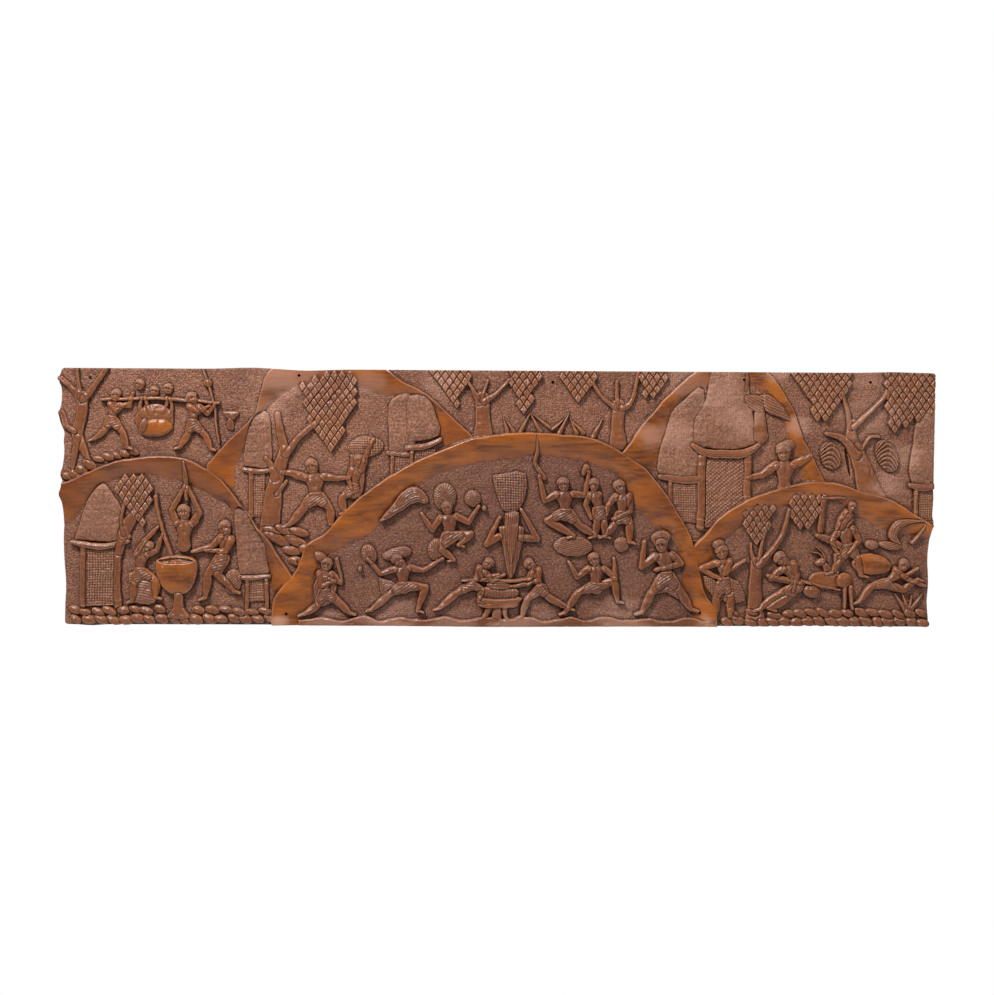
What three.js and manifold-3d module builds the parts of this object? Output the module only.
// Carved wooden relief panel: a village scene of hills, huts, trees and people in one board.
//
// The model is built in carving space: x runs along the board from its left end, y runs up from
// its bottom edge, and z is the depth measured from the flat back towards the carved front.
// The finished solid is turned at the end so that the back lies in the plane y = 0, the carving
// faces -y and z points up, with the origin in the middle of the back. Lengths are millimetres and
// angles are degrees clockwise from straight up, as on a compass.
import * as THREE from 'three';
import { mergeVertices } from 'three/addons/utils/BufferGeometryUtils.js';
import Module from 'manifold-3d';

const wasm = await Module();
wasm.setup();

// ---------------------------------------------------------------- driving dimensions

const LENGTH = 2000;
const HEIGHT = 588;
const GROUND = 22; // thickness left behind the sunk ground of every scene
const BELOW = GROUND - 2; // blocks that cut the relief start this deep
const HILL_RIM = 34; // crest of the two hills at the back
const MOUND_RIM = 38; // crest of the three mounds in front
const BACK_RELIEF = 12; // height of a figure over the ground in the back scenes
const FRONT_RELIEF = 20; // height of a figure over the ground in the front scenes
const CLEARANCE = 60; // a depth past everything, used by the cutting prisms
const HOLE_DIAMETER = 7;
const HOLE_SIDES = 8;
const LEAF_WIDTH = 56;
const LEAF_HEIGHT = 72;
const HILL_STEPS = 12; // straight stretches along the rim of a hill

// ---------------------------------------------------------------- what is carved, and where

// Screw holes, as centres on the face.
const HOLES = [[65, 566], [540, 574], [1120, 562], [1558, 570], [1852, 566], [510, 27], [1464, 32]];

// Bumps and hollows of the hewn edge: side, place along it, outward swell, reach.
const EDGE_BUMPS = [
  ['left', 562, 7, 14], ['left', 480, 7, 24], ['left', 440, -5, 14], ['left', 400, -4, 24],
  ['left', 345, 6, 14], ['left', 300, 7, 14], ['left', 250, -3, 30], ['left', 90, -4, 50],
  ['right', 300, 3, 40], ['right', 243, 5, 12], ['right', 160, -6, 50], ['right', 60, -5, 40],
  ['top', 430, 3, 60], ['top', 560, -3, 60], ['top', 1900, 2, 60], ['bottom', 60, 3, 30],
  ['bottom', 1000, 2, 200], ['bottom', 1700, -2, 80],
];

// The hills and mounds from back to front. The rim is the crest line, and the toe is where its
// smooth slope meets the sunk ground inside it.
const HILLS = [
  { name: 'left_hill', crest: HILL_RIM,
    rim: [[330, 372], [382, 428], [437, 482], [452, 534], [482, 598], [600, 650], [731, 592], [765, 570],
      [798, 553], [822, 540], [851, 516], [880, 490], [910, 462], [936, 440], [985, 395]],
    toe: [[392, 355], [422, 430], [462, 490], [505, 535], [560, 556], [620, 556], [690, 540], [740, 530],
      [790, 528], [822, 524], [846, 498], [858, 465], [866, 430], [880, 400], [900, 360]],
    foot: [600, 60] },
  { name: 'right_hill', crest: HILL_RIM,
    rim: [[1262, 385], [1290, 412], [1320, 460], [1345, 490], [1380, 530], [1420, 568], [1453, 592],
      [1530, 640], [1608, 592], [1636, 566], [1668, 512], [1692, 458], [1702, 430], [1722, 395], [1760, 320]],
    toe: [[1335, 340], [1356, 365], [1370, 420], [1392, 480], [1412, 515], [1450, 545], [1490, 556],
      [1535, 560], [1585, 555], [1622, 532], [1645, 495], [1660, 445], [1675, 405], [1690, 370], [1705, 325]],
    foot: [1500, 200] },
  { name: 'left_mound', crest: MOUND_RIM,
    rim: [[-30, 312], [0, 325], [50, 346], [100, 370], [150, 382], [205, 388], [270, 384], [320, 366],
      [360, 336], [400, 288], [435, 243], [470, 195], [500, 148], [530, 100], [560, 50]],
    toe: [[-30, 215], [8, 232], [38, 256], [64, 300], [98, 328], [160, 342], [220, 343], [275, 326],
      [330, 302], [378, 270], [415, 232], [444, 188], [464, 145], [474, 95], [480, 40]],
    foot: [200, -60] },
  { name: 'right_mound', crest: MOUND_RIM,
    rim: [[1420, 90], [1438, 150], [1450, 192], [1474, 216], [1502, 250], [1534, 272], [1568, 293],
      [1610, 311], [1660, 325], [1715, 336], [1770, 336], [1830, 318], [1900, 297], [1955, 265], [2030, 225]],
    toe: [[1490, 10], [1488, 70], [1482, 122], [1496, 168], [1522, 202], [1552, 228], [1585, 252],
      [1625, 270], [1675, 284], [1730, 294], [1785, 288], [1840, 250], [1895, 228], [1955, 214], [2030, 196]],
    foot: [1760, -60] },
  { name: 'centre_mound', crest: MOUND_RIM,
    rim: [[476, -30], [474, 30], [486, 70], [526, 118], [560, 186], [600, 214], [660, 280], [722, 328],
      [790, 370], [865, 406], [940, 433], [1020, 444], [1110, 446], [1200, 436], [1262, 412], [1300, 389],
      [1348, 350], [1386, 303], [1420, 246], [1446, 198], [1460, 140], [1478, 75], [1502, 32], [1510, -30]],
    toe: [[560, -30], [566, 30], [571, 80], [584, 140], [628, 176], [672, 196], [716, 224], [745, 262],
      [792, 312], [860, 350], [945, 376], [1030, 388], [1110, 391], [1190, 381], [1245, 360], [1284, 334],
      [1306, 290], [1335, 250], [1375, 226], [1405, 190], [1419, 145], [1426, 90], [1442, 40], [1450, -30]],
    foot: [1000, -90] },
];

// Leaf masses: the outline each lattice of leaves is cut to.
const FOLIAGE = [
  { zone: 'sky', outline: [[846, 600], [850, 566], [866, 548], [880, 522], [900, 508], [912, 540], [928, 572],
    [932, 600]] },
  { zone: 'sky', outline: [[1019, 600], [1022, 562], [1034, 535], [1051, 497], [1072, 530], [1086, 562],
    [1092, 600]] },
  { zone: 'sky', outline: [[1136, 600], [1146, 562], [1166, 540], [1180, 518], [1194, 542], [1216, 566],
    [1222, 600]] },
  { zone: 'sky', outline: [[1322, 600], [1324, 566], [1336, 524], [1356, 545], [1376, 572], [1384, 600]] },
  { zone: 'sky', outline: [[1668, 600], [1680, 560], [1700, 530], [1716, 512], [1724, 490], [1742, 478],
    [1760, 508], [1782, 532], [1798, 562], [1806, 600]] },
  { zone: 'sky', outline: [[1890, 600], [1886, 558], [1894, 530], [1888, 502], [1896, 475], [1906, 456],
    [1930, 468], [1966, 492], [2010, 508], [2010, 600]] },
  { zone: 'left_hill', outline: [[547, 548], [575, 562], [602, 578], [640, 582], [662, 572], [673, 540],
    [660, 500], [646, 478], [640, 450], [630, 425], [610, 410], [594, 430], [576, 462], [560, 492],
    [556, 516]] },
  { zone: 'left_mound', outline: [[124, 318], [140, 336], [165, 346], [194, 340], [202, 312], [196, 285],
    [188, 255], [180, 222], [164, 240], [148, 268], [126, 292]] },
  { zone: 'right_mound', outline: [[1560, 246], [1568, 264], [1584, 282], [1612, 286], [1630, 272],
    [1624, 246], [1612, 222], [1588, 188], [1576, 205]] },
  { zone: 'right_mound', outline: [[1668, 304], [1700, 310], [1738, 304], [1736, 272], [1718, 246],
    [1700, 232], [1688, 218], [1678, 246], [1666, 280]] },
];

// Branches, poles, tools and other long forms: points along the middle, each with its width.
const STROKES = [
  { zone: 'sky', of: 'porters_tree', rise: 12, path: [[64, 372, 8], [46, 410, 20], [36, 436, 26], [44, 470, 24],
    [48, 500, 24], [46, 522, 28]] },
  { zone: 'sky', of: 'porters_tree', rise: 11, path: [[44, 516, 20], [20, 545, 12], [-8, 566, 9]] },
  { zone: 'sky', of: 'porters_tree', rise: 10, path: [[44, 518, 14], [38, 552, 9], [34, 600, 8]] },
  { zone: 'sky', of: 'porters_tree', rise: 12, path: [[50, 516, 18], [74, 548, 13], [112, 600, 11]] },
  { zone: 'sky', of: 'porters_tree', rise: 11, path: [[32, 444, 16], [8, 460, 11], [-4, 490, 9]] },
  { zone: 'sky', of: 'porters_tree', rise: 9, path: [[24, 352, 8], [30, 395, 16], [38, 430, 20]] },
  { zone: 'sky', of: 'carrying_pole', rise: 14, path: [[90, 518, 7], [230, 519, 8], [356, 509, 7]] },
  { zone: 'sky', of: 'staff', rise: 11, path: [[318, 600, 6], [336, 540, 6], [347, 495, 6], [356, 418, 5]] },
  { zone: 'sky', of: 'first_tree', rise: 11, path: [[962, 438, 44], [960, 480, 32], [958, 522, 32]] },
  { zone: 'sky', of: 'first_tree', rise: 11, path: [[952, 512, 16], [938, 540, 9], [922, 566, 8]] },
  { zone: 'sky', of: 'first_tree', rise: 10, path: [[956, 516, 12], [963, 540, 7], [971, 563, 7]] },
  { zone: 'sky', of: 'first_tree', rise: 11, path: [[962, 514, 18], [990, 534, 9], [1020, 568, 8]] },
  { zone: 'sky', of: 'second_tree', rise: 11, path: [[1272, 425, 40], [1270, 465, 30], [1270, 510, 30]] },
  { zone: 'sky', of: 'second_tree', rise: 11, path: [[1264, 504, 16], [1236, 524, 9], [1212, 562, 9]] },
  { zone: 'sky', of: 'second_tree', rise: 10, path: [[1270, 506, 12], [1266, 535, 8], [1267, 564, 8]] },
  { zone: 'sky', of: 'second_tree', rise: 11, path: [[1278, 504, 16], [1302, 524, 10], [1318, 600, 9]] },
  { zone: 'sky', of: 'right_tree', rise: 13, path: [[1868, 298, 56], [1852, 345, 40], [1828, 395, 34],
    [1810, 440, 24], [1812, 472, 20]] },
  { zone: 'sky', of: 'right_tree', rise: 11, path: [[1808, 460, 16], [1798, 500, 10], [1784, 545, 9]] },
  { zone: 'sky', of: 'right_tree', rise: 12, path: [[1814, 462, 16], [1846, 496, 11], [1892, 540, 10]] },
  { zone: 'sky', of: 'right_tree', rise: 12, path: [[1822, 398, 26], [1794, 434, 16], [1750, 449, 10]] },
  { zone: 'sky', of: 'right_tree', rise: 10, path: [[1822, 424, 12], [1834, 410, 8], [1850, 440, 8],
    [1872, 442, 7]] },
  { zone: 'left_hill', of: 'left_tree', rise: 12, path: [[474, 215, 46], [478, 280, 40], [490, 340, 32],
    [508, 400, 28]] },
  { zone: 'left_hill', of: 'left_tree', rise: 11, path: [[486, 340, 22], [476, 368, 14], [464, 384, 12]] },
  { zone: 'left_hill', of: 'left_tree', rise: 10, path: [[508, 396, 20], [498, 440, 18], [492, 484, 14]] },
  { zone: 'left_hill', of: 'left_tree', rise: 13, path: [[510, 392, 18], [540, 432, 14], [578, 466, 14]] },
  { zone: 'left_hill', of: 'left_tree', rise: 10, path: [[488, 300, 12], [512, 332, 8]] },
  { zone: 'left_mound', of: 'hut_tree', rise: 11, path: [[126, 168, 16], [134, 205, 18], [152, 240, 14],
    [172, 266, 10]] },
  { zone: 'left_mound', of: 'hut_tree', rise: 9, path: [[138, 208, 12], [132, 245, 8], [138, 280, 8]] },
  { zone: 'left_mound', of: 'left_pestle', rise: 17, path: [[213, 296, 9], [222, 240, 8], [232, 200, 10],
    [247, 162, 10]] },
  { zone: 'left_mound', of: 'centre_pestle', rise: 17, path: [[278, 374, 7], [283, 330, 12], [284, 290, 9]] },
  { zone: 'right_hill', of: 'palm_post', rise: 8, path: [[1569, 600, 8], [1566, 545, 10]] },
  { zone: 'right_hill', of: 'palm_trunk', rise: 9, path: [[1600, 440, 36], [1598, 500, 24]] },
  { zone: 'right_mound', of: 'palm_tree', rise: 14, path: [[1594, 22, 44], [1594, 80, 30], [1592, 150, 24]] },
  { zone: 'right_mound', of: 'palm_tree', rise: 12, path: [[1592, 145, 14], [1582, 170, 8], [1580, 192, 6]] },
  { zone: 'right_mound', of: 'palm_tree', rise: 12, path: [[1598, 140, 12], [1606, 195, 8], [1618, 242, 6]] },
  { zone: 'right_mound', of: 'palm_tree', rise: 14, path: [[1598, 142, 18], [1636, 185, 14], [1656, 225, 12],
    [1666, 272, 9]] },
  { zone: 'right_mound', of: 'spear', rise: 18, path: [[1620, 120, 9], [1704, 104, 8], [1790, 88, 5]] },
  { zone: 'right_mound', of: 'post', rise: 12, path: [[1750, 304, 14], [1740, 222, 14]] },
  { zone: 'right_mound', of: 'post', rise: 10, path: [[1744, 302, 7], [1796, 300, 7]] },
  { zone: 'right_mound', of: 'log', rise: 18, path: [[1732, 212, 10], [1768, 200, 18], [1806, 178, 12]] },
  { zone: 'right_mound', of: 'boar_leg', rise: 14, path: [[1781, 166, 16], [1780, 124, 12]] },
  { zone: 'right_mound', of: 'crescent', rise: 16, path: [[1926, 188, 8], [1910, 214, 20], [1920, 238, 22],
    [1946, 248, 12], [1978, 247, 5]] },
  { zone: 'right_mound', of: 'sickle', rise: 14, path: [[1954, 196, 10], [1968, 212, 8], [1984, 238, 4]] },
  { zone: 'right_mound', of: 'deer_leg', rise: 15, path: [[1802, 92, 10], [1803, 44, 7]] },
  { zone: 'right_mound', of: 'deer_leg', rise: 15, path: [[1814, 94, 10], [1821, 40, 7]] },
  { zone: 'centre_mound', of: 'left_horn', rise: 14, path: [[626, 154, 9], [632, 128, 8], [638, 104, 6]] },
  { zone: 'centre_mound', of: 'blade', rise: 16, path: [[730, 246, 6], [762, 262, 18], [788, 292, 16],
    [812, 313, 8], [832, 298, 5]] },
  { zone: 'centre_mound', of: 'plume', rise: 12, path: [[1085, 440, 4], [1086, 402, 10], [1082, 374, 10],
    [1102, 342, 12]] },
  { zone: 'centre_mound', of: 'torch', rise: 15, path: [[1192, 352, 10], [1200, 366, 16]] },
  { zone: 'centre_mound', of: 'drum_leg', rise: 15, path: [[978, 44, 16], [968, 24, 10], [954, 8, 8]] },
  { zone: 'centre_mound', of: 'drum_leg', rise: 16, path: [[994, 44, 20], [994, 8, 24]] },
  { zone: 'centre_mound', of: 'drum_leg', rise: 15, path: [[1010, 44, 16], [1014, 24, 10], [1022, 8, 9]] },
  { zone: 'centre_mound', of: 'table', rise: 17, path: [[914, 106, 6], [952, 106, 9], [1010, 106, 9],
    [1050, 108, 8], [1082, 114, 5]] },
];

// Rounded forms: centre, half width, half height, tilt, rise over the ground.
const OVALS = [
  { zone: 'sky', of: 'slung_boar', at: [211, 468], half: [43, 38], tilt: 0, rise: 18 },
  { zone: 'sky', of: 'boar_head', at: [188, 458], half: [9, 16], tilt: 10, rise: 20 },
  { zone: 'sky', of: 'onlooker', at: [178, 552], half: [9, 12], tilt: 0, rise: 11 },
  { zone: 'sky', of: 'onlooker', at: [212, 536], half: [9, 12], tilt: 0, rise: 10 },
  { zone: 'sky', of: 'onlooker', at: [243, 542], half: [9, 12], tilt: 0, rise: 10 },
  { zone: 'sky', of: 'bundle', at: [331, 553], half: [10, 9], tilt: 0, rise: 14 },
  { zone: 'left_hill', of: 'basket', at: [668, 415], half: [20, 24], tilt: -20, rise: 10 },
  { zone: 'left_hill', of: 'basket', at: [713, 408], half: [22, 22], tilt: 0, rise: 14 },
  { zone: 'left_mound', of: 'winnow', at: [386, 100], half: [20, 30], tilt: 10, rise: 10 },
  { zone: 'centre_mound', of: 'hat', at: [590, 158], half: [17, 12], tilt: 35, rise: 18 },
  { zone: 'centre_mound', of: 'left_fan', at: [701, 165], half: [18, 22], tilt: -15, rise: 14 },
  { zone: 'centre_mound', of: 'right_fan', at: [856, 176], half: [20, 26], tilt: 10, rise: 14 },
  { zone: 'centre_mound', of: 'ball', at: [679, 130], half: [6, 7], tilt: 0, rise: 18 },
  { zone: 'centre_mound', of: 'hair', at: [770, 172], half: [32, 12], tilt: -10, rise: 13 },
  { zone: 'centre_mound', of: 'halo', at: [873, 296], half: [26, 32], tilt: 0, rise: 13 },
  { zone: 'centre_mound', of: 'high_fan', at: [938, 293], half: [20, 20], tilt: 0, rise: 14 },
  { zone: 'centre_mound', of: 'ball', at: [965, 271], half: [6, 7], tilt: 0, rise: 18 },
  { zone: 'centre_mound', of: 'dish', at: [1000, 95], half: [30, 10], tilt: 0, rise: 18 },
  { zone: 'centre_mound', of: 'hair', at: [1170, 185], half: [44, 24], tilt: 5, rise: 13 },
  { zone: 'centre_mound', of: 'sieve', at: [1282, 190], half: [18, 18], tilt: 0, rise: 13 },
  { zone: 'centre_mound', of: 'turban', at: [1376, 211], half: [20, 14], tilt: -10, rise: 18 },
  { zone: 'right_hill', of: 'cap', at: [1656, 421], half: [18, 12], tilt: 0, rise: 13 },
  { zone: 'right_mound', of: 'bun', at: [1501, 192], half: [12, 13], tilt: 0, rise: 16 },
  { zone: 'right_mound', of: 'child', at: [1724, 82], half: [20, 15], tilt: 10, rise: 18 },
  { zone: 'right_mound', of: 'deer', at: [1752, 104], half: [40, 16], tilt: 6, rise: 12 },
  { zone: 'right_mound', of: 'haunch', at: [1798, 109], half: [19, 17], tilt: 0, rise: 19 },
  { zone: 'right_mound', of: 'boar', at: [1862, 146], half: [46, 24], tilt: 6, rise: 19 },
  { zone: 'right_mound', of: 'boar_mane', at: [1862, 190], half: [17, 12], tilt: 10, rise: 15 },
  { zone: 'right_mound', of: 'boar_back', at: [1905, 188], half: [26, 10], tilt: 10, rise: 13 },
  { zone: 'right_mound', of: 'round_head', at: [1749, 151], half: [11, 10], tilt: 0, rise: 15 },
  { zone: 'sky', of: 'leaf_ball', at: [1762, 397], half: [23, 33], tilt: -20, rise: 11 },
  { zone: 'sky', of: 'leaf_ball', at: [1892, 397], half: [24, 40], tilt: -25, rise: 11 },
];

// Flat-faced forms with an outline of their own: skirts, robes, walls and the like.
const PLATES = [
  { zone: 'sky', of: 'bowl', rise: 9, outline: [[362, 490], [402, 490], [396, 476], [384, 470], [372, 476]] },
  { zone: 'left_hill', of: 'carrier_skirt', rise: 11, outline: [[656, 395], [684, 392], [690, 340], [680, 296],
    [652, 300], [654, 345]] },
  { zone: 'left_mound', of: 'left_skirt', rise: 13, outline: [[150, 118], [176, 126], [200, 116], [216, 92],
    [206, 50], [160, 52], [152, 85]] },
  { zone: 'left_mound', of: 'mortar_bowl', rise: 21, outline: [[214, 150], [212, 120], [222, 90], [242, 70],
    [278, 68], [298, 84], [306, 120], [304, 150], [280, 159], [238, 159]] },
  { zone: 'left_mound', of: 'mortar_foot', rise: 17, outline: [[252, 74], [250, 42], [236, 16], [290, 16],
    [274, 42], [272, 74]] },
  { zone: 'centre_mound', of: 'left_robe', rise: 14, outline: [[572, 88], [584, 112], [618, 112], [624, 84],
    [612, 52], [582, 46]] },
  { zone: 'centre_mound', of: 'left_cloth', rise: 9, outline: [[722, 112], [762, 98], [748, 74], [728, 72]] },
  { zone: 'centre_mound', of: 'bundle', rise: 14, outline: [[984, 348], [1060, 352], [1048, 272], [1006, 270]] },
  { zone: 'centre_mound', of: 'robe', rise: 15, outline: [[998, 230], [1056, 228], [1034, 124], [1018, 124]] },
  { zone: 'centre_mound', of: 'hair_fall', rise: 18, outline: [[1012, 262], [1044, 262], [1040, 200],
    [1030, 148], [1022, 150], [1014, 200]] },
  { zone: 'centre_mound', of: 'drum', rise: 20, outline: [[950, 68], [948, 56], [962, 42], [1034, 42],
    [1046, 56], [1046, 68]] },
  { zone: 'centre_mound', of: 'drum_neck', rise: 15, outline: [[966, 90], [964, 66], [1036, 66], [1038, 90]] },
  { zone: 'centre_mound', of: 'right_skirt', rise: 13, outline: [[1358, 112], [1410, 116], [1420, 64],
    [1386, 78], [1352, 76]] },
  { zone: 'right_mound', of: 'left_skirt', rise: 13, outline: [[1514, 106], [1554, 106], [1570, 62],
    [1520, 58]] },
  { zone: 'right_mound', of: 'hamper', rise: 11, outline: [[1472, 120], [1492, 114], [1518, 88], [1516, 60],
    [1500, 64], [1478, 95]] },
  { zone: 'right_hill', of: 'palm_leaf', rise: 12, outline: [[1598, 536], [1620, 536], [1646, 512],
    [1668, 476], [1640, 486], [1612, 500]] },
  { zone: 'right_hill', of: 'palm_leaf', rise: 10, outline: [[1604, 534], [1566, 534], [1560, 522],
    [1574, 502], [1606, 496]] },
];

// Rows of rounded stones: first and last centre, how many, half size, and rise.
const STONES = [
  { zone: 'left_mound', from: [30, 13], to: [470, 13], count: 17, half: [13, 8], rise: 14 },
  { zone: 'left_mound', from: [24, 32], to: [216, 34], count: 8, half: [12, 7], rise: 11 },
  { zone: 'left_mound', from: [310, 34], to: [462, 30], count: 6, half: [12, 7], rise: 11 },
  { zone: 'right_mound', from: [1530, 12], to: [1986, 12], count: 18, half: [13, 8], rise: 14 },
  { zone: 'right_mound', from: [1542, 31], to: [1586, 31], count: 2, half: [14, 7], rise: 11 },
  { zone: 'right_mound', from: [1640, 30], to: [1982, 31], count: 13, half: [13, 7], rise: 11 },
  { zone: 'sky', from: [10, 338], to: [62, 364], count: 4, half: [12, 8], rise: 10 },
  { zone: 'sky', from: [84, 382], to: [164, 396], count: 5, half: [10, 6], rise: 8 },
  { zone: 'left_hill', from: [478, 222], to: [540, 214], count: 3, half: [20, 8], rise: 12 },
  { zone: 'left_hill', from: [488, 202], to: [536, 190], count: 2, half: [24, 10], rise: 12 },
  { zone: 'left_hill', from: [520, 170], to: [556, 172], count: 2, half: [18, 9], rise: 12 },
  { zone: 'left_hill', from: [530, 148], to: [548, 140], count: 2, half: [14, 9], rise: 11 },
];

// Thatched huts: eave line, roof outline, wall, posts and the floor they stand on.
const HUTS = [
  { zone: 'left_mound', of: 'big_hut', rise: 14,
    roof: [[24, 194], [34, 222], [46, 262], [64, 300], [82, 322], [98, 324], [116, 298], [132, 268], [142, 230],
      [146, 194]],
    eave: [[20, 190, 10], [60, 182, 14], [100, 182, 14], [148, 194, 8]],
    wall: [40, 118, 44, 178], posts: [[45, 46, 178, 12], [124, 42, 184, 15]] },
  { zone: 'left_mound', of: 'small_hut', rise: 11,
    roof: [[402, 118], [396, 160], [394, 210], [392, 262], [410, 272], [436, 236], [458, 190], [466, 150],
      [468, 118]],
    eave: [[404, 112, 10], [436, 110, 12], [470, 113, 10]],
    wall: [414, 466, 54, 106], posts: [[420, 22, 104, 9], [464, 22, 104, 9]] },
  { zone: 'left_hill', of: 'far_hut', rise: 9,
    roof: [[416, 366], [412, 392], [424, 448], [442, 486], [470, 486], [476, 430], [472, 366]],
    eave: [[414, 358, 10], [444, 354, 12], [474, 358, 10]],
    wall: [426, 462, 250, 350], posts: [[430, 250, 350, 11]] },
  { zone: 'left_hill', of: 'rear_hut', rise: 8,
    roof: [[744, 404], [742, 470], [752, 522], [800, 526], [800, 404]],
    eave: [[742, 398, 10], [770, 396, 11], [802, 397, 10]],
    wall: [750, 796, 350, 394], posts: [[754, 340, 394, 9]] },
  { zone: 'left_hill', of: 'mid_hut', rise: 12,
    roof: [[788, 424], [784, 480], [792, 528], [828, 528], [850, 490], [862, 440]],
    eave: [[784, 412, 12], [824, 414, 14], [864, 430, 10]],
    wall: [796, 852, 350, 408], posts: [[796, 340, 408, 10]] },
  { zone: 'right_hill', of: 'rear_hut', rise: 9,
    roof: [[1366, 354], [1360, 372], [1374, 432], [1392, 490], [1420, 520], [1466, 546], [1466, 354]],
    eave: [[1370, 346, 12], [1412, 340, 16], [1462, 341, 16]],
    wall: [1394, 1458, 240, 334], posts: [[1394, 280, 334, 9]] },
  { zone: 'right_hill', of: 'great_hut', rise: 14,
    roof: [[1444, 424], [1446, 478], [1470, 524], [1490, 600], [1562, 600], [1574, 540], [1588, 440],
      [1584, 420], [1520, 408]],
    eave: [[1442, 420, 10], [1470, 404, 18], [1520, 398, 20], [1566, 402, 18], [1596, 420, 10]],
    wall: [1474, 1564, 232, 392], posts: [[1464, 232, 394, 18], [1571, 290, 394, 17]] },
  { zone: 'sky', of: 'edge_hut', rise: 13,
    roof: [[1952, 336], [1944, 362], [1952, 420], [1966, 486], [2010, 500], [2010, 336]],
    eave: [[1946, 332, 10], [1972, 326, 16], [2012, 328, 16]],
    wall: [1958, 2012, 240, 318], posts: [[1962, 262, 318, 10]] },
];

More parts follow.
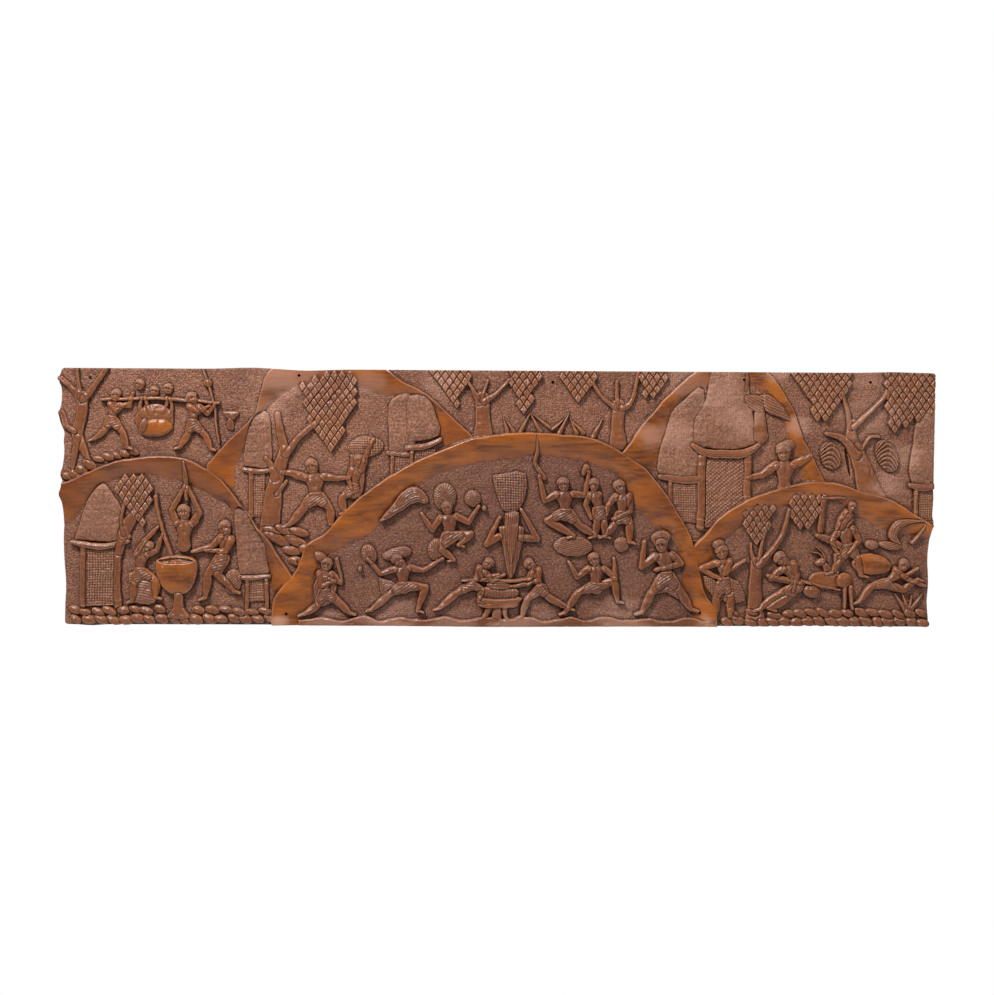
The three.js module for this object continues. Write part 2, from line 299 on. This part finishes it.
// People. Each has the middle of the hips, the height when standing, how far they face the viewer
// (1 is square on), the lean of the trunk and of the head, and for each limb the direction and
// the stretch of its upper and its lower part. A limb that is hidden is left out.
const PEOPLE = [
  { zone: 'sky', who: 'first_porter', hips: [115, 470], tall: 150, turn: 0.7, lean: 10, head: 5,
    leftArm: [140, 1, 50, 1], rightArm: [95, 0.9, 15, 1],
    leftLeg: [205, 0.8, 230, 0.9], rightLeg: [145, 1, 165, 1] },
  { zone: 'sky', who: 'second_porter', hips: [298, 464], tall: 150, turn: 0.7, lean: 5, head: 335,
    leftArm: [125, 1, 60, 1], rightArm: [130, 1, 35, 1],
    leftLeg: [195, 0.8, 210, 1], rightLeg: [140, 1, 160, 1] },
  { zone: 'left_hill', who: 'thrower', hips: [578, 296], tall: 185, turn: 1, lean: 355, head: 345,
    leftArm: [285, 1.1, 275, 0.5], rightArm: [100, 1.1, 85, 0.7],
    leftLeg: [215, 0.8, 220, 1.1], rightLeg: [140, 0.9, 180, 0.8] },
  { zone: 'left_hill', who: 'basket_carrier', hips: [668, 318], tall: 165, turn: 0.6, lean: 3, head: 20,
    leftArm: [200, 0.9, 160, 0.7], rightArm: [20, 1.2, 25, 1.4], leftLeg: [225, 0.9, 165, 0.9] },
  { zone: 'left_mound', who: 'left_pounder', hips: [178, 122], tall: 165, turn: 0.7, lean: 2, head: 45,
    leftArm: [30, 1.3, 45, 1.4], rightArm: [70, 0.8, 20, 1.3],
    leftLeg: [195, 0.9, 190, 0.9], rightLeg: [125, 0.9, 185, 1] },
  { zone: 'left_mound', who: 'centre_pounder', hips: [276, 186], tall: 190, turn: 0.9, lean: 1, head: 0,
    leftArm: [345, 1, 30, 1.8], rightArm: [35, 1, 335, 1.8] },
  { zone: 'left_mound', who: 'right_pounder', hips: [364, 156], tall: 180, turn: 0.6, lean: 12, head: 345,
    leftArm: [225, 1, 255, 1.4], rightArm: [205, 1, 272, 1.4],
    leftLeg: [215, 1.2, 185, 1.3], rightLeg: [205, 1, 135, 1.3] },
  { zone: 'right_hill', who: 'cap_wearer', hips: [1658, 322], tall: 210, turn: 0.9, lean: 0, head: 350,
    leftArm: [235, 1.2, 260, 0.8], rightArm: [65, 0.9, 50, 0.4] },
  { zone: 'centre_mound', who: 'left_guest', hips: [600, 76], tall: 170, turn: 0.8, lean: 0, head: 10,
    leftArm: [165, 1, 65, 0.9], rightArm: [135, 0.9, 290, 0.7],
    leftLeg: [200, 0.8, 240, 1], rightLeg: [135, 0.9, 135, 0.8] },
  { zone: 'centre_mound', who: 'left_dancer', hips: [780, 92], tall: 165, turn: 0.9, lean: 355, head: 320,
    leftArm: [250, 1.3, 320, 1.5], rightArm: [100, 1.2, 60, 1.7],
    leftLeg: [235, 0.9, 228, 1.4], rightLeg: [95, 1.1, 198, 1.5] },
  { zone: 'centre_mound', who: 'high_dancer', hips: [885, 208], tall: 168, turn: 1, lean: 355, head: 350,
    leftArm: [210, 1.2, 325, 1.5], rightArm: [115, 1.1, 35, 1.4],
    leftLeg: [200, 0.8, 130, 1], rightLeg: [85, 1, 230, 1] },
  { zone: 'centre_mound', who: 'bundle_carrier', hips: [1022, 160], tall: 180, turn: 1.3, lean: 2, head: 0,
    leftArm: [235, 1.1, 25, 2.2], rightArm: [95, 1.3, 330, 2.4] },
  { zone: 'centre_mound', who: 'left_eater', hips: [938, 96], tall: 155, turn: 0.5, lean: 35, head: 45,
    leftArm: [160, 1, 75, 1.3], rightArm: [140, 1, 60, 1],
    leftLeg: [235, 1.1, 230, 1.5], rightLeg: [120, 0.6, 195, 0.8] },
  { zone: 'centre_mound', who: 'right_eater', hips: [1094, 88], tall: 160, turn: 0.5, lean: 345, head: 310,
    leftArm: [200, 1, 260, 1.3], rightArm: [185, 0.8, 250, 0.8],
    leftLeg: [225, 1, 195, 1.1], rightLeg: [150, 0.6, 120, 1.6] },
  { zone: 'centre_mound', who: 'torch_dancer', hips: [1150, 262], tall: 172, turn: 1, lean: 358, head: 350,
    leftArm: [240, 1, 345, 1.8], rightArm: [100, 1, 10, 1.8],
    leftLeg: [240, 0.9, 118, 1.8], rightLeg: [140, 1, 122, 1] },
  { zone: 'centre_mound', who: 'rear_guest', hips: [1228, 268], tall: 160, turn: 0.7, lean: 345, head: 0,
    leftArm: [195, 1, 160, 1], leftLeg: [180, 0.8, 190, 0.8], rightLeg: [170, 0.8, 175, 0.9] },
  { zone: 'centre_mound', who: 'front_guest', hips: [1282, 258], tall: 175, turn: 0.8, lean: 0, head: 335,
    leftArm: [220, 1, 190, 0.6], rightArm: [175, 1.2, 245, 1.4],
    leftLeg: [205, 0.6, 220, 0.9], rightLeg: [150, 0.5, 178, 1.1] },
  { zone: 'centre_mound', who: 'right_dancer', hips: [1222, 92], tall: 165, turn: 1, lean: 0, head: 340,
    leftArm: [230, 1.2, 330, 1.3], rightArm: [130, 1.3, 355, 1.5],
    leftLeg: [245, 0.9, 215, 1.5], rightLeg: [65, 1, 170, 1.4] },
  { zone: 'centre_mound', who: 'right_guest', hips: [1385, 106], tall: 190, turn: 0.9, lean: 355, head: 345,
    leftArm: [230, 1.2, 5, 1.6], rightArm: [135, 0.9, 255, 1.7],
    leftLeg: [218, 0.95, 205, 1.1], rightLeg: [140, 0.95, 145, 1.1] },
  { zone: 'right_mound', who: 'hamper_woman', hips: [1534, 100], tall: 170, turn: 0.7, lean: 355, head: 350,
    leftArm: [252, 1.3, 120, 1.5], rightArm: [205, 1, 58, 1.7],
    leftLeg: [200, 0.9, 185, 1], rightLeg: [170, 0.9, 180, 1] },
  { zone: 'right_mound', who: 'spearman', hips: [1690, 96], tall: 195, turn: 0.6, lean: 335, head: 310,
    leftArm: [232, 1.1, 100, 2], rightArm: [160, 0.9, 200, 1],
    leftLeg: [242, 1, 232, 1.1], rightLeg: [225, 1, 240, 1] },
  { zone: 'right_mound', who: 'archer', hips: [1806, 184], tall: 170, turn: 0.9, lean: 350, head: 15,
    leftArm: [215, 1, 150, 1], rightArm: [150, 1.2, 225, 1.2],
    leftLeg: [200, 0.8, 215, 0.8], rightLeg: [150, 0.8, 165, 1] },
  { zone: 'right_mound', who: 'high_hunter', hips: [1790, 236], tall: 130, turn: 0.7, lean: 30, head: 20,
    leftArm: [215, 1, 200, 1] },
  { zone: 'right_mound', who: 'runner', hips: [1898, 100], tall: 155, turn: 0.6, lean: 45, head: 25,
    leftArm: [130, 1, 60, 1.2], rightArm: [120, 1, 110, 1.2],
    leftLeg: [252, 1, 215, 1.2], rightLeg: [105, 1.1, 50, 1.1] },
];

// ---------------------------------------------------------------- closed solids

// The point a given distance away in a compass direction.
function step([x, y], direction, distance) {
  const angle = THREE.MathUtils.degToRad(direction);
  return [x + Math.sin(angle) * distance, y + Math.cos(angle) * distance];
}

// Twice the signed area of a triangle, positive when it runs anticlockwise.
function turn(a, b, c) {
  return (b[0] - a[0]) * (c[1] - a[1]) - (b[1] - a[1]) * (c[0] - a[0]);
}

// An outline in anticlockwise order.
function anticlockwise(outline) {
  const area = outline.reduce((sum, point, i) => {
    const next = outline[(i + 1) % outline.length];
    return sum + point[0] * next[1] - next[0] * point[1];
  }, 0);
  return area < 0 ? [...outline].reverse() : outline;
}

// A library solid from vertices and triangles.
function solid(vertices, triangles) {
  const mesh = new wasm.Mesh({
    numProp: 3,
    vertProperties: new Float32Array(vertices.flat()),
    triVerts: new Uint32Array(triangles.flat()),
  });
  return new wasm.Manifold(mesh);
}

// A library solid from a three.js geometry whose shared vertices are merged here.
function solidOf(geometry) {
  geometry.deleteAttribute('normal');
  geometry.deleteAttribute('uv');
  const merged = mergeVertices(geometry, 1e-4);
  const mesh = new wasm.Mesh({
    numProp: 3,
    vertProperties: new Float32Array(merged.attributes.position.array),
    triVerts: new Uint32Array(merged.index.array),
  });
  return new wasm.Manifold(mesh);
}

// A straight block with the given outline between two depths.
function prism(outline, low, high) {
  const shape = new THREE.Shape(outline.map(([x, y]) => new THREE.Vector2(x, y)));
  const geometry = new THREE.ExtrudeGeometry(shape, { depth: high - low, bevelEnabled: false });
  geometry.translate(0, 0, low);
  return solidOf(geometry);
}

// Triangles across an outline, all facing up.
function cap(outline) {
  const contour = outline.map(([x, y]) => new THREE.Vector2(x, y));
  return THREE.ShapeUtils.triangulateShape(contour, []).map(([a, b, c]) =>
    (turn(outline[a], outline[b], outline[c]) < 0 ? [a, c, b] : [a, b, c]));
}

// A form that runs through a stack of outlines with the same number of points. Each level holds
// an anticlockwise outline and its depth.
function loft(levels) {
  const count = levels[0].outline.length;
  const last = (levels.length - 1) * count;
  const vertices = levels.flatMap(({ outline, depth }) => outline.map(([x, y]) => [x, y, depth]));
  const triangles = cap(levels[0].outline).map(([a, b, c]) => [a, c, b]);
  for (let level = 0; level < last; level += count) {
    for (let i = 0; i < count; i += 1) {
      const next = (i + 1) % count;
      triangles.push([level + i, level + next, level + count + next]);
      triangles.push([level + i, level + count + next, level + count + i]);
    }
  }
  cap(levels.at(-1).outline).forEach(([a, b, c]) => triangles.push([last + a, last + b, last + c]));
  return solid(vertices, triangles);
}

// An outline drawn in towards its middle.
function drawnIn(outline, share) {
  const middle = [0, 1].map((axis) => outline.reduce((sum, point) => sum + point[axis], 0) / outline.length);
  return outline.map((point) => point.map((value, axis) => middle[axis] + (value - middle[axis]) * share));
}

// A raised form whose sides slope in from the ground to a smaller flat top.
function boss(outline, rise, share = 0.7) {
  const ring = anticlockwise(outline);
  return loft([{ outline: ring, depth: GROUND }, { outline: drawnIn(ring, share), depth: GROUND + rise }]);
}

// A raised form that comes to a point over its middle.
function peak(outline, rise) {
  const ring = anticlockwise(outline);
  const [x, y] = drawnIn(ring, 0)[0];
  const tip = ring.length;
  const triangles = cap(ring).map(([a, b, c]) => [a, c, b]);
  ring.forEach((_, i) => triangles.push([i, (i + 1) % tip, tip]));
  return solid([...ring.map(([px, py]) => [px, py, GROUND]), [x, y, GROUND + rise]], triangles);
}

// Points round an ellipse whose height is tilted from upright.
function ellipse([x, y], [halfWidth, halfHeight], tilt, sides) {
  const lean = THREE.MathUtils.degToRad(tilt);
  return Array.from({ length: sides }, (_, i) => {
    const angle = ((i + 0.5) / sides) * 2 * Math.PI;
    const across = Math.cos(angle) * halfWidth;
    const along = Math.sin(angle) * halfHeight;
    return [
      x + across * Math.cos(lean) + along * Math.sin(lean),
      y - across * Math.sin(lean) + along * Math.cos(lean),
    ];
  });
}

// The two sides of a band that follows a line of points, mitred at each bend.
function sides(path) {
  const left = [];
  const right = [];
  path.forEach(([x, y, width], i) => {
    const before = path[Math.max(i - 1, 0)];
    const after = path[Math.min(i + 1, path.length - 1)];
    const inward = new THREE.Vector2(x - before[0], y - before[1]).normalize();
    const outward = new THREE.Vector2(after[0] - x, after[1] - y).normalize();
    const along = i === 0 ? outward : i === path.length - 1 ? inward : inward.clone().add(outward).normalize();
    const straight = i === 0 ? outward : inward;
    const mitre = Math.max(0.6, along.dot(straight));
    const half = width / 2 / mitre;
    left.push([x - along.y * half, y + along.x * half]);
    right.push([x + along.y * half, y - along.x * half]);
  });
  return [...right, ...left.reverse()];
}

// A long form such as a branch or a limb, with sloping sides that meet in a ridge.
function limb(path, rise) {
  const count = path.length;
  const ring = sides(path);
  const ridge = path.map(([x, y, width], i) => {
    if (i > 0 && i < count - 1) return [x, y];
    const inner = i === 0 ? path[1] : path.at(-2);
    const reach = Math.hypot(inner[0] - x, inner[1] - y);
    const share = Math.min(0.4 * width, 0.4 * reach) / reach;
    return [x + (inner[0] - x) * share, y + (inner[1] - y) * share];
  });
  const vertices = [...ring.map(([x, y]) => [x, y, GROUND]), ...ridge.map(([x, y]) => [x, y, GROUND + rise])];
  const left = (i) => 2 * count - 1 - i;
  const top = (i) => 2 * count + i;
  const triangles = cap(ring).map(([a, b, c]) => [a, c, b]);
  for (let i = 0; i < count - 1; i += 1) {
    triangles.push([i, i + 1, top(i + 1)], [i, top(i + 1), top(i)]);
    triangles.push([left(i + 1), left(i), top(i)], [left(i + 1), top(i), top(i + 1)]);
  }
  triangles.push([count - 1, left(count - 1), top(count - 1)], [left(0), 0, top(0)]);
  return solid(vertices, triangles);
}

// How far a line of points turns at one of them, in degrees.
function bend(before, at, after) {
  const inward = new THREE.Vector2(at[0] - before[0], at[1] - before[1]);
  const outward = new THREE.Vector2(after[0] - at[0], after[1] - at[1]);
  return THREE.MathUtils.radToDeg(Math.acos(THREE.MathUtils.clamp(
    inward.normalize().dot(outward.normalize()), -1, 1)));
}

// A long form, without the points where it hardly bends, and cut in two wherever it turns sharply.
function limbs(path, rise) {
  const [straight, sharpest] = [33, 70];
  const route = path.filter((point, i) => i === 0 || i === path.length - 1
    || bend(path[i - 1], point, path[i + 1]) > straight);
  const pieces = [];
  let start = 0;
  for (let i = 1; i < route.length; i += 1) {
    const last = i === route.length - 1;
    if (last || bend(route[i - 1], route[i], route[i + 1]) > sharpest) {
      pieces.push(limb(route.slice(start, i + 1), rise));
      start = i;
    }
  }
  return pieces;
}

// ---------------------------------------------------------------- the board

// A hewn edge: how far it swells at a place along one side of the board.
function swell(side, place) {
  const bumps = EDGE_BUMPS.filter(([where]) => where === side);
  return bumps.reduce((sum, [, at, out, reach]) => sum + out * Math.exp(-(((place - at) / reach) ** 2)), 0);
}

// The outline of the board, with rounded corners and softly uneven edges.
function boardOutline() {
  const corner = 8;
  const longSteps = 12;
  const shortSteps = 16;
  const outline = [];
  const along = (steps, length) => Array.from({ length: steps + 1 }, (_, i) =>
    corner + ((length - 2 * corner) * i) / steps);
  along(longSteps, LENGTH).forEach((x) => outline.push([x, -swell('bottom', x)]));
  along(shortSteps, HEIGHT).forEach((y) => outline.push([LENGTH + swell('right', y), y]));
  along(longSteps, LENGTH).reverse().forEach((x) => outline.push([x, HEIGHT + swell('top', x)]));
  along(shortSteps, HEIGHT).reverse().forEach((y) => outline.push([-swell('left', y), y]));
  return outline;
}

// Evenly spaced points on a smooth curve through a few given ones.
function curve(points, steps) {
  const spline = new THREE.SplineCurve(points.map(([x, y]) => new THREE.Vector2(x, y)));
  return spline.getSpacedPoints(steps).map(({ x, y }) => [x, y]);
}

// The bank of a hill: a wall at the rim, a narrow crest and a slope that runs in to the toe.
function bank(hill) {
  const crest = 0.12;
  const rim = curve(hill.rim, HILL_STEPS);
  const toe = curve(hill.toe, HILL_STEPS);
  const vertices = rim.flatMap(([x, y], i) => [
    [x, y, GROUND],
    [...toe[i], GROUND],
    [x + (toe[i][0] - x) * crest, y + (toe[i][1] - y) * crest, hill.crest],
    [x, y, hill.crest - 1],
  ]);
  const section = 4;
  const triangles = [];
  for (let i = 0; i < HILL_STEPS; i += 1) {
    for (let k = 0; k < section; k += 1) {
      const a = i * section + k;
      const b = i * section + ((k + 1) % section);
      triangles.push([a, b + section, b], [a, a + section, b + section]);
    }
  }
  const end = HILL_STEPS * section;
  for (let k = 1; k < section - 1; k += 1) {
    triangles.push([0, k, k + 1], [end, end + k + 1, end + k]);
  }
  return solid(vertices, triangles);
}

// The whole area of a hill, as the block that clears what lies behind it.
function hillArea(hill) {
  const rim = curve(hill.rim, HILL_STEPS);
  const closing = [[rim.at(-1)[0], hill.foot[1]], [rim[0][0], hill.foot[1]]];
  return prism([...rim, ...closing], BELOW, CLEARANCE);
}

// ---------------------------------------------------------------- plants, huts and things

// A lattice of pointed leaves, cut to an outline.
function foliage({ outline }) {
  const xs = outline.map(([x]) => x);
  const ys = outline.map(([, y]) => y);
  const columns = Math.ceil(((Math.max(...xs) - Math.min(...xs)) * 2) / LEAF_WIDTH) + 2;
  const rows = Math.ceil(((Math.max(...ys) - Math.min(...ys)) * 2) / LEAF_HEIGHT) + 2;
  const left = Math.min(...xs) - LEAF_WIDTH / 3;
  const bottom = Math.min(...ys) - LEAF_HEIGHT / 3;
  const vertices = [];
  const index = (column, row) => row * (columns + 1) + column;
  for (let row = 0; row <= rows; row += 1) {
    for (let column = 0; column <= columns; column += 1) {
      const raised = (row + column) % 2 === 0;
      vertices.push([left + (column * LEAF_WIDTH) / 2, bottom + (row * LEAF_HEIGHT) / 2,
        GROUND + (raised ? 12 : 6)]);
    }
  }
  const triangles = [];
  for (let row = 0; row < rows; row += 1) {
    for (let column = 0; column < columns; column += 1) {
      const [a, b, c, d] = [index(column, row), index(column + 1, row), index(column + 1, row + 1),
        index(column, row + 1)];
      if ((row + column) % 2 === 0) triangles.push([a, b, d], [b, c, d]);
      else triangles.push([a, b, c], [a, c, d]);
    }
  }
  const loop = [];
  for (let column = 0; column < columns; column += 1) loop.push(index(column, 0));
  for (let row = 0; row < rows; row += 1) loop.push(index(columns, row));
  for (let column = columns; column > 0; column -= 1) loop.push(index(column, rows));
  for (let row = rows; row > 0; row -= 1) loop.push(index(0, row));
  const start = vertices.length;
  loop.forEach((top) => vertices.push([vertices[top][0], vertices[top][1], GROUND]));
  const middle = vertices.length;
  vertices.push([left + (columns * LEAF_WIDTH) / 4, bottom + (rows * LEAF_HEIGHT) / 4, GROUND]);
  loop.forEach((top, i) => {
    const next = (i + 1) % loop.length;
    triangles.push([start + i, start + next, loop[next]], [start + i, loop[next], top]);
    triangles.push([start + next, start + i, middle]);
  });
  const block = prism(anticlockwise(outline), BELOW, CLEARANCE);
  return solid(vertices, triangles).intersect(block);
}

function oval({ at, half, tilt, rise }) {
  const broad = Math.min(...half) > 15;
  return broad ? boss(ellipse(at, half, tilt, 7), rise, 0.6) : peak(ellipse(at, half, tilt, 5), rise);
}

function plate({ outline, rise }) {
  return boss(outline, rise, 0.8);
}

function stones({ from, to, count, half, rise }) {
  return Array.from({ length: count }, (_, i) => {
    const share = count === 1 ? 0 : i / (count - 1);
    const sway = (i % 3) - 1;
    const at = [from[0] + (to[0] - from[0]) * share, from[1] + (to[1] - from[1]) * share + sway];
    return peak(ellipse(at, half, 8 * sway, 4), rise);
  });
}

function hut({ roof, eave, wall, posts, rise }) {
  const [left, right, bottom, top] = wall;
  const panel = prism([[left, bottom], [right, bottom], [right, top], [left, top]], BELOW, GROUND + rise * 0.3);
  const legs = posts.map(([x, low, high, width]) => limb([[x, low, width], [x, high, width]], rise * 0.75));
  return [boss(roof, rise, 0.6), limb(eave, rise * 0.95), panel, ...legs];
}

// ---------------------------------------------------------------- people

// A limb of two parts from a joint, ending in a hand or a foot of its own direction.
function jointed(from, [upper, upperStretch, lower, lowerStretch], lengths, widths) {
  const middle = step(from, upper, lengths[0] * upperStretch);
  const end = step(middle, lower, lengths[1] * lowerStretch);
  return [[...from, widths[0]], [...middle, widths[1]], [...end, widths[2]]];
}

function person({ hips, tall, turn: facing, lean, head, leftArm, rightArm, leftLeg, rightLeg, zone }) {
  const relief = zone === 'sky' || zone.endsWith('hill') ? BACK_RELIEF : FRONT_RELIEF;
  const neck = step(hips, lean, 0.29 * tall);
  const shoulder = (side) => step(step(neck, lean + 180, 0.035 * tall), lean + side * 90, 0.11 * tall * facing);
  const hip = (side) => step(hips, lean + side * 90, 0.05 * tall * facing);
  const arm = (side, pose) => limbs(jointed(shoulder(side), pose, [0.165 * tall, 0.165 * tall],
    [0.075 * tall, 0.06 * tall, 0.045 * tall]), relief * 0.95);
  const leg = (side, pose) => limbs(jointed(hip(side), pose, [0.235 * tall, 0.235 * tall],
    [0.11 * tall, 0.08 * tall, 0.06 * tall]), relief * 0.9);
  const breadth = 0.4 + 0.6 * facing;
  const seat = step(hips, lean + 180, 0.05 * tall);
  const trunk = limb([[...seat, 0.14 * tall * breadth], [...neck, 0.24 * tall * breadth]], relief);
  const face = step(neck, head, 0.09 * tall);
  const parts = [trunk, peak(ellipse(face, [0.065 * tall, 0.085 * tall], head, 5), relief + 2)];
  if (leftArm) parts.push(...arm(-1, leftArm));
  if (rightArm) parts.push(...arm(1, rightArm));
  if (leftLeg) parts.push(...leg(-1, leftLeg));
  if (rightLeg) parts.push(...leg(1, rightLeg));
  return parts;
}

// ---------------------------------------------------------------- putting it together

// Every form that stands on the ground of one scene.
function scene(zone) {
  const here = (list) => list.filter((entry) => entry.zone === zone);
  return [
    ...here(HUTS).flatMap(hut),
    ...here(FOLIAGE).map(foliage),
    ...here(STROKES).flatMap(({ path, rise }) => limbs(path, rise)),
    ...here(STONES).flatMap(stones),
    ...here(OVALS).map(oval),
    ...here(PLATES).map(plate),
    ...here(PEOPLE).flatMap(person),
  ];
}

// The wavy lip of ground along the bottom edge under the centre mound.
function ledge() {
  const [left, right, wave] = [536, 1502, 80];
  const top = [];
  for (let x = left; x <= right; x += wave) top.push([x, top.length % 2 === 0 ? 13 : 20]);
  return prism(anticlockwise([...top, [right, -10], [left, -10]]), GROUND, GROUND + 14);
}

function join(solids) {
  return solids.reduce((joined, next) => joined.add(next));
}

// The relief, worked from the back scenes to the front ones: each hill clears its own area first.
function relief() {
  let carving = join(scene('sky'));
  HILLS.forEach((hill) => {
    const area = hillArea(hill);
    const own = [bank(hill), ...scene(hill.name)];
    if (hill.name === 'centre_mound') own.push(ledge());
    carving = carving.subtract(area).add(join(own).intersect(area));
  });
  return carving;
}

function carvedPanel() {
  const spare = 40;
  const plank = prism([[-spare, -spare], [LENGTH + spare, -spare], [LENGTH + spare, HEIGHT + spare],
    [-spare, HEIGHT + spare]], 0, GROUND);
  const outline = prism(boardOutline(), -spare, CLEARANCE);
  const drills = HOLES.map(([x, y]) =>
    prism(ellipse([x, y], [HOLE_DIAMETER / 2, HOLE_DIAMETER / 2], 0, HOLE_SIDES), -spare, CLEARANCE));
  return plank.add(relief()).intersect(outline).subtract(join(drills));
}

// The library's solid as a three.js geometry in the part's own frame.
function geometryOf(manifold) {
  const { numProp, vertProperties, triVerts } = manifold.getMesh();
  const positions = [];
  for (let i = 0; i < vertProperties.length; i += numProp) {
    positions.push(vertProperties[i], vertProperties[i + 1], vertProperties[i + 2]);
  }
  const geometry = new THREE.BufferGeometry();
  geometry.setAttribute('position', new THREE.Float32BufferAttribute(positions, 3));
  geometry.setIndex([...triVerts]);
  geometry.translate(-LENGTH / 2, -HEIGHT / 2, 0);
  geometry.rotateX(Math.PI / 2);
  return geometry;
}

const wood = new THREE.MeshStandardMaterial({ color: 0x8a5a3c, roughness: 0.45, metalness: 0 });
const panel = new THREE.Mesh(geometryOf(carvedPanel()), wood);
panel.name = 'carved_panel';

const group = new THREE.Group();
group.add(panel);

export default group;
